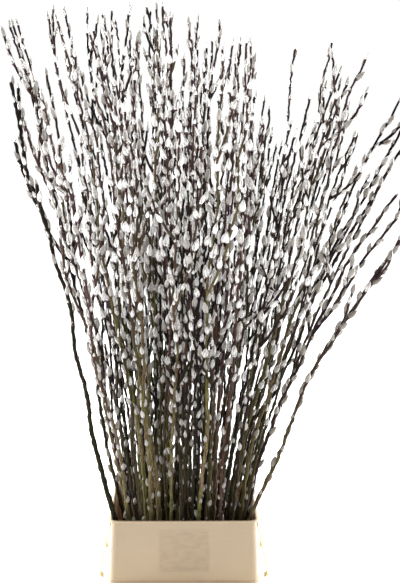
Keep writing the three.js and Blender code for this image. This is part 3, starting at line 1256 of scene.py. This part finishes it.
@dataclass
class Container:
    """The moulded container: tapering walls, rolled lip, foot band, side feet, blank panel."""

    base: tuple[float, float] = (304 * MM, 404 * MM)
    rim: tuple[float, float] = (296 * MM, 396 * MM)
    height: float = 130 * MM
    wall: float = 2.5 * MM
    floor: float = 3.0 * MM
    corner: float = 18 * MM
    lip_out: float = 1.6 * MM
    lip: float = 3.5 * MM
    band: float = 6.0 * MM
    foot_top: float = 124 * MM
    foot_reach: float = 22.5 * MM
    foot_length: float = 40 * MM
    foot_end: float = 150 * MM
    foot_wall: float = 3 * MM
    toe: tuple[float, float] = (7 * MM, 6 * MM)
    panel_corner: float = 5 * MM
    panel_rib: float = 2 * MM
    panel_rise: float = 1.6 * MM
    panel_proud: float = 0.35 * MM

    def size_at(self, z: float) -> tuple[float, float]:
        """Gives the outer width and depth of the wall at a height."""
        share = z / self.height
        return tuple(b + (r - b) * share for b, r in zip(self.base, self.rim))

    def outline(self) -> list[tuple[float, float]]:
        """Lists the wall's levels, up the outside, over the lip and down the inside to the floor.

        Returns:
            Each level's height, and how far out it stands from the plain outer wall.
        """
        out, inside, band, top = self.lip_out, -self.wall, self.band, self.height
        under_lip = top - self.lip
        return [
            (0.6 * MM, out),
            (band - 1.0 * MM, out),
            (band, out - 0.6 * MM),
            (band + 0.8 * MM, 0.0),
            (top * 0.35, 0.0),
            (top * 0.7, 0.0),
            (under_lip - 1.2 * MM, 0.0),
            (under_lip, out - 0.4 * MM),
            (under_lip + 0.6 * MM, out),
            (top - 1.0 * MM, out),
            (top - 0.25 * MM, out - 0.7 * MM),
            (top, out - 1.5 * MM),
            (top, inside + 0.9 * MM),
            (top - 0.4 * MM, inside + 0.3 * MM),
            (top - 1.4 * MM, inside),
            (self.floor + 4 * MM, inside),
            (self.floor + 1 * MM, inside - 1 * MM),
            (self.floor, inside - 4 * MM),
        ]

    def shell(self) -> bpy.types.Object:
        """Raises the tub from its base plate by extruding and resizing one face.

        Returns:
            The tub's object.
        """
        deselect_all()
        bpy.ops.mesh.primitive_plane_add(size=1, location=(0, 0, 0))
        tub = bpy.context.object
        now, z = [s + 2 * self.lip_out - 1.2 * MM for s in self.size_at(0)], 0.0
        tub.scale = (*now, 1)
        apply_place()
        with editing():
            bpy.ops.mesh.select_all(action="SELECT")
            bpy.ops.mesh.bevel(offset=self.corner, segments=8, affect="VERTICES")
            for level, outward in self.outline():
                then = [s + 2 * outward for s in self.size_at(level)]
                move = {"value": (0, 0, level - z)}
                bpy.ops.mesh.extrude_region_move(TRANSFORM_OT_translate=move)
                grown = (then[0] / now[0], then[1] / now[1], 1)
                bpy.ops.transform.resize(value=grown, center_override=(0, 0, level))
                now, z = then, level
            face_outwards()
        return tub

    def side_foot(self, side: int, end: int) -> bpy.types.Object:
        """Models one thin strip that leans out from a side wall down to a toe turned in at the floor.

        Args:
            side: 1 for the +X side, -1 for the other.
            end: 1 for the back, -1 for the front.

        Returns:
            The strip's object.
        """
        deselect_all()
        thick, (turn, rise) = self.foot_wall, self.toe
        toe = self.base[0] / 2 + self.foot_reach - thick / 2
        middle = end * (self.foot_end - self.foot_length / 2)
        bpy.ops.mesh.primitive_cube_add(size=1, location=(0, 0, 0))
        foot = bpy.context.object
        with editing():
            bpy.ops.transform.resize(value=(thick, self.foot_length, rise))
            bpy.ops.transform.translate(value=(toe - turn, middle, rise / 2))
        choose(foot, lambda co: co.z > rise / 2)
        with editing():
            bpy.ops.transform.translate(value=(turn, 0, 0))
            lean = (self.size_at(self.foot_top)[0] / 2 - toe, 0, self.foot_top - rise)
            bpy.ops.mesh.extrude_region_move(TRANSFORM_OT_translate={"value": lean})
            bpy.ops.mesh.select_all(action="SELECT")
            bpy.ops.mesh.bevel(offset=self.foot_wall / 5, segments=2, affect="EDGES")
            if side < 0:
                bpy.ops.transform.rotate(value=math.pi, orient_axis="Z", center_override=(0, 0, 0))
        return foot

    def panel(self) -> bpy.types.Object:
        """Models the raised frame of the blank panel on the front wall.

        Returns:
            The frame's object.
        """
        deselect_all()
        bpy.ops.mesh.primitive_grid_add(x_subdivisions=1, y_subdivisions=1, size=1)
        frame = bpy.context.object
        with editing():
            bpy.ops.mesh.select_all(action="SELECT")
            bpy.ops.transform.resize(value=(PANEL_WIDTH, PANEL_HEIGHT, 1))
            bpy.ops.mesh.bevel(offset=self.panel_corner, segments=4, affect="VERTICES")
            bpy.ops.mesh.inset(thickness=self.panel_rib)
            bpy.ops.mesh.delete(type="FACE")
            bpy.ops.mesh.select_all(action="SELECT")
            move = {"value": (0, 0, self.panel_rise)}
            bpy.ops.mesh.extrude_region_move(TRANSFORM_OT_translate=move)
            face_outwards()
        taper = math.atan((self.base[1] - self.rim[1]) / 2 / self.height)
        front = -self.size_at(PANEL_MIDDLE)[1] / 2 - self.panel_proud
        back = front + self.panel_rise * math.cos(taper)
        stand = Matrix.Rotation(math.pi / 2 - taper, 4, "X")
        frame.data.transform(Matrix.Translation((0, back, PANEL_MIDDLE)) @ stand)
        return frame

    def build(self, finishes: Finishes) -> bpy.types.Object:
        """Joins the container's parts in place of its CAD node.

        Args:
            finishes: The object's finishes.

        Returns:
            The container's object.
        """
        parts = [self.side_foot(side, end) for side in (-1, 1) for end in (-1, 1)]
        parts += [self.panel(), self.shell()]
        tub = joined(parts[::-1])
        tub.name = "container_shell"
        bpy.ops.object.shade_smooth_by_angle(angle=math.radians(32))
        tub.data.materials.clear()
        tub.data.materials.append(finishes.plastic)
        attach(tub, BODY)
        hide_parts("container")
        return tub


@dataclass
class Bunch:
    """All the branches that stand in the container."""

    nodes: dict[str, bpy.types.Object]
    openings: list[dict]
    box: np.ndarray
    finishes: Finishes
    lone: str = "branch_01"
    strays: tuple[str, ...] = ("branch_02", "branch_03", "branch_04", "branch_05", "branch_06")
    group: int = 6

    def __post_init__(self) -> None:
        """Models the catkins once."""
        pattern = CatkinPattern()
        self.shapes = {stage: pattern.shape(stage) for stage in Stage}

    def tone(self, random: np.random.Generator) -> float:
        """Draws how purple or green a branch is."""
        return float(np.clip(random.normal(0.42, 0.24), 0, 1))

    def dress(self, pieces: list[bpy.types.Object]) -> list[bpy.types.Object]:
        """Makes a wood and its catkins ride on the body, and logs their face counts."""
        for piece, slot in zip(pieces, (Slot.BARK, Slot.DOWN)):
            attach(piece, BODY)
            LOG.info("%s: %d faces", piece.name, len(piece.data.polygons))
        return pieces

    def outer(self) -> tuple[list[bpy.types.Object], list[Line]]:
        """Builds the branches that the CAD model holds, in the order of their names.

        Returns:
            Their pieces, and the straight lines that they were grown from.
        """
        pieces, lines = [], []
        for count, name in enumerate(sorted(n for n in self.nodes if n.startswith("branch_"))):
            random = np.random.default_rng(SEED + count)
            rod, shoot = RodReader(self.nodes[name]).read()
            lines += [copy.deepcopy(line) for line in (rod, shoot) if line is not None]
            # Painted shade and light: stems further forward get brighter bark and stems further back
            # darker bark, with a random spread.
            shade = float(np.clip(random.normal(0.42, 0.2) - 2.0 * rod.points[0, 1], 0, 1))
            bare = random.uniform(0.10, 0.16)
            branch = Branch(name, rod, shoot, random, self.tone(random), shade, bare, self.box)
            branch.dull = 0.6 * smoothstep(0.24, 0.5, abs(rod.points[-1, 0]))
            if name in self.strays:
                branch.girth, branch.lift = 1.12, 0.25
                branch.tone, branch.shade = 0.5 * branch.tone, 0.5 * branch.shade
            if name == self.lone:
                branch.shut_below, branch.girth, branch.shade = 0.55, 1.5, 0.05
            made = self.dress(branch.build(self.shapes, self.finishes))
            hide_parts(name)
            pieces += made
        return pieces, lines

    def inner(self, taken: list[Line]) -> list[bpy.types.Object]:
        """Builds the branches that fill the bunch between the others, a few to a piece.

        Args:
            taken: The lines of the other branches.

        Returns:
            Their pieces.
        """
        random = np.random.default_rng(SEED)
        lines = Thicket(taken, self.openings, self.box, random).lay()
        pieces = []
        for start in range(0, len(lines), self.group):
            name = f"inner_{start // self.group + 1}"
            made = []
            for line in lines[start : start + self.group]:
                # Painted shade: the inner stems get dark bark, standing in for the shade inside the
                # bunch.
                shade = random.uniform(0, 0.2)
                branch = Branch(name, line, None, random, self.tone(random), shade, 0.12, self.box)
                branch.spacing = 35 * MM
                made.append(branch.build(self.shapes, self.finishes))
            pieces += self.dress([joined(list(kind)) for kind in zip(*made)])
        return pieces

    def build(self) -> list[bpy.types.Object]:
        """Builds every branch.

        Returns:
            All their pieces.
        """
        pieces, lines = self.outer()
        return pieces + self.inner(lines)


@dataclass
class Studio:
    """The pale floor, soft lights and camera."""

    camera_place: Triple = (0.0, -4.6, 1.1534)
    yaw: float = math.radians(0.426)
    pitch: float = math.radians(7.187)
    lens: float = 137.07
    aim: Triple = (0.0, 0.0, 0.6)
    lamps: tuple[tuple[str, Triple, float, float], ...] = (
        ("front_lamp", (-1.2, -4.2, 2.2), 2.4, 65),
        ("left_lamp", (-2.6, 1.3, 1.1), 2.0, 260),
        ("right_lamp", (2.6, 1.3, 1.1), 2.0, 260),
        ("top_lamp", (0.0, 0.6, 4.2), 3.0, 90),
    )
    sky_light: float = 0.32

    def floor(self) -> None:
        """Lays a wide pale floor."""
        deselect_all()
        bpy.ops.mesh.primitive_plane_add(size=24, location=(0, 0, -0.0005))
        floor = bpy.context.object
        floor.name = "studio_floor"
        nodes = Nodes("studio_floor")
        nodes.fixed(Roughness=0.9, Emission_Strength=0.85)
        nodes.surface.inputs["Base Color"].default_value = (0.9, 0.9, 0.9, 1)
        nodes.surface.inputs["Emission Color"].default_value = (1, 1, 1, 1)
        floor.data.materials.append(nodes.material)
        floor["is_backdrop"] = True

    def lamp(self, name: str, place: Triple, size: float, power: float) -> None:
        """Hangs a soft square lamp that faces the middle of the bunch.

        Args:
            name: Its name.
            place: Where it hangs.
            size: Its side, in metres.
            power: Its power, in watts.
        """
        deselect_all()
        bpy.ops.object.light_add(type="AREA", location=place)
        lamp = bpy.context.object
        lamp.name = name
        lamp.data.shape, lamp.data.size, lamp.data.energy = "SQUARE", size, power
        toward = Vector(self.aim) - Vector(place)
        lamp.rotation_euler = toward.to_track_quat("-Z", "Y").to_euler()

    def sky(self) -> None:
        """Surrounds the scene with white, which lights it less than its own look would."""
        world = bpy.data.worlds.new("studio")
        world.use_nodes = True
        tree = world.node_tree
        backdrop = tree.nodes["Background"]
        backdrop.inputs["Color"].default_value = (1, 1, 1, 1)
        path = tree.nodes.new("ShaderNodeLightPath")
        level = tree.nodes.new("ShaderNodeMapRange")
        level.inputs["To Min"].default_value = self.sky_light
        tree.links.new(path.outputs["Is Camera Ray"], level.inputs["Value"])
        tree.links.new(level.outputs["Result"], backdrop.inputs["Strength"])
        bpy.context.scene.world = world

    def build(self) -> None:
        """Sets up the floor, lights, world and camera."""
        self.floor()
        for lamp in self.lamps:
            self.lamp(*lamp)
        self.sky()
        scene = bpy.context.scene
        scene.view_settings.view_transform = "Standard"
        deselect_all()
        bpy.ops.object.camera_add(location=self.camera_place)
        camera = bpy.context.object
        level = math.cos(self.pitch)
        ahead = Vector((math.sin(self.yaw) * level, math.cos(self.yaw) * level, -math.sin(self.pitch)))
        camera.rotation_euler = ahead.to_track_quat("-Z", "Y").to_euler()
        camera.data.lens = self.lens
        scene.camera = camera


def main() -> None:
    """Builds the whole object and its studio."""
    logging.basicConfig(level=logging.INFO, format="%(name)s %(message)s")
    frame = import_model()
    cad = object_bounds()
    finishes = Finishes()
    tub = Container().build(finishes)
    LOG.info("%s: %d faces", tub.name, len(tub.data.polygons))
    openings = frame["record"]["physics"]["openings"]
    pieces = Bunch(frame["nodes"], openings, np.array(cad), finishes).build()
    LOG.info("%d pieces, %d faces", len(pieces), sum(len(p.data.polygons) for p in pieces))
    Studio().build()


if __name__ == "__main__":
    main()
